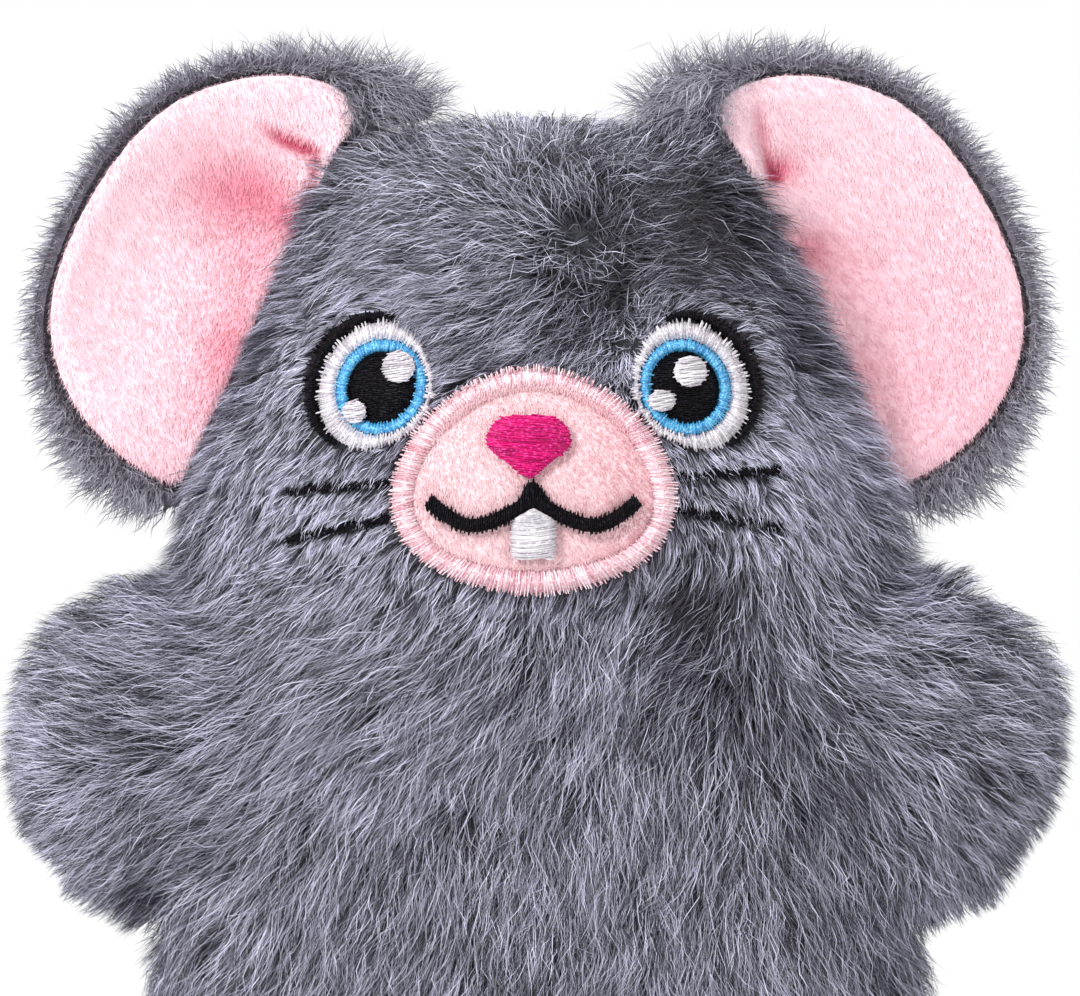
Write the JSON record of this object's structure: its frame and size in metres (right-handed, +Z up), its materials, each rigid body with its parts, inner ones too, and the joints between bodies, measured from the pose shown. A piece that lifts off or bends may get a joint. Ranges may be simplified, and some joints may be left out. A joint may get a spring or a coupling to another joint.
{
  "type": "plush mouse cat toy",
  "caption": "Stuffed plush mouse that sits upright, with folding dish ears, stubby limbs, a curled tail and an embroidered face, for a cat to carry and kick.",
  "frame": {"origin": "on the floor, under the middle of the toy's plan, in the plane of its flat base", "axes": "+Z up through the head, -Y towards the viewer of the face, +X to the toy's own left"},
  "size_m": [0.1164, 0.1022, 0.1543],
  "materials": {
    "fur_fabric": "long pile plush fur, combed, bluish grey",
    "ear_velour": "short pile velour, pale pink",
    "muzzle_velour": "short pile velour, pale peach pink",
    "tail_velour": "short pile velour, pale pink, stuffed",
    "fibre_fill": "loose polyester fibre fill",
    "black_thread": "satin stitch embroidery thread, black",
    "white_thread": "satin stitch embroidery thread, white",
    "blue_thread": "satin stitch embroidery thread, sky blue",
    "magenta_thread": "satin stitch embroidery thread, magenta",
    "rose_thread": "satin stitch embroidery thread, rose"
  },
  "bodies": {
    "body": {"torso_front_panel": "fur_fabric", "torso_back_panel": "fur_fabric", "head_front_panel": "fur_fabric", "head_back_panel": "fur_fabric", "right_arm": "fur_fabric", "right_leg": "fur_fabric", "left_arm": "fur_fabric", "left_leg": "fur_fabric", "torso_fill": "fibre_fill", "head_fill": "fibre_fill", "right_arm_fill": "fibre_fill", "right_leg_fill": "fibre_fill", "left_arm_fill": "fibre_fill", "left_leg_fill": "fibre_fill", "muzzle_border": "rose_thread", "muzzle_patch": "muzzle_velour", "nose": "magenta_thread", "mouth": "black_thread", "tooth": "white_thread", "right_eye_white": "white_thread", "right_eye_large_glint": "white_thread", "right_eye_small_glint": "white_thread", "right_eye_iris": "blue_thread", "right_eye_pupil": "black_thread", "right_eye_outline": "black_thread", "right_upper_whisker": "black_thread", "right_lower_whisker": "black_thread", "left_eye_white": "white_thread", "left_eye_large_glint": "white_thread", "left_eye_small_glint": "white_thread", "left_eye_iris": "blue_thread", "left_eye_pupil": "black_thread", "left_eye_outline": "black_thread", "left_upper_whisker": "black_thread", "left_lower_whisker": "black_thread"},
    "right_ear": {"right_ear_back": "fur_fabric", "right_ear_lining": "ear_velour"},
    "left_ear": {"left_ear_back": "fur_fabric", "left_ear_lining": "ear_velour"},
    "tail": {"tail": "tail_velour"}
  },
  "joints": [
    {"name": "right_ear_fold", "type": "hinge", "parent": "body", "child": "right_ear", "pos_m": [-0.03938, 0.00144, 0.10422], "axis": [0.417, 0, 0.9089], "range_deg": [-20, 20], "stiffness_Nm_per_rad": 0.01},
    {"name": "left_ear_fold", "type": "hinge", "parent": "body", "child": "left_ear", "pos_m": [0.03938, 0.00144, 0.10422], "axis": [-0.417, 0, 0.9089], "range_deg": [-20, 20], "stiffness_Nm_per_rad": 0.01},
    {"name": "tail_swing", "type": "hinge", "parent": "body", "child": "tail", "pos_m": [0, 0.03261, 0.0053], "axis": [0, 0, 1], "range_deg": [-10, 80], "stiffness_Nm_per_rad": 0.004}
  ]
}
